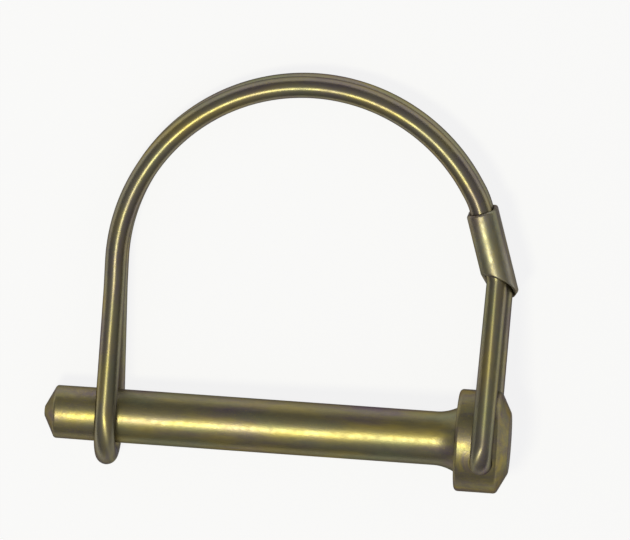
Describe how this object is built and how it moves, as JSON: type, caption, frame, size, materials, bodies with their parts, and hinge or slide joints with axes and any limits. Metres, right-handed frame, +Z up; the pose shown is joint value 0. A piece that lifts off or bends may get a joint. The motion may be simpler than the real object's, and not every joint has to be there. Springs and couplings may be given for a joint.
{
  "type": "lynch pin",
  "caption": "Round steel pin with a drilled head and a sprung double-wire bail that swings on the head and snaps under the point, held by a crimped sleeve.",
  "frame": {"origin": "on the shank's axis, at the middle of the grip between the flare under the head and the bail", "axes": "+X along the surface toward the head, +Y toward the top of the bail, +Z up from the surface that the pin lies on"},
  "size_m": [0.0699, 0.0608, 0.0231],
  "materials": {
    "pin_steel": "zinc plated and yellow passivated",
    "bail_wire_steel": "zinc plated and yellow passivated spring wire",
    "ferrule_steel": "zinc plated and yellow passivated, crimped"
  },
  "bodies": {
    "pin": {"pin": "pin_steel"},
    "bail": {"bail_wire": "bail_wire_steel", "ferrule": "ferrule_steel"}
  },
  "joints": [
    {"name": "bail_swing", "type": "hinge", "parent": "pin", "child": "bail", "pos_m": [0.03077, -0.00179, 0.00252], "axis": [0.0749, -0.1065, -0.9915], "range_deg": [0, 250], "deforming": ["bail_wire"]}
  ]
}
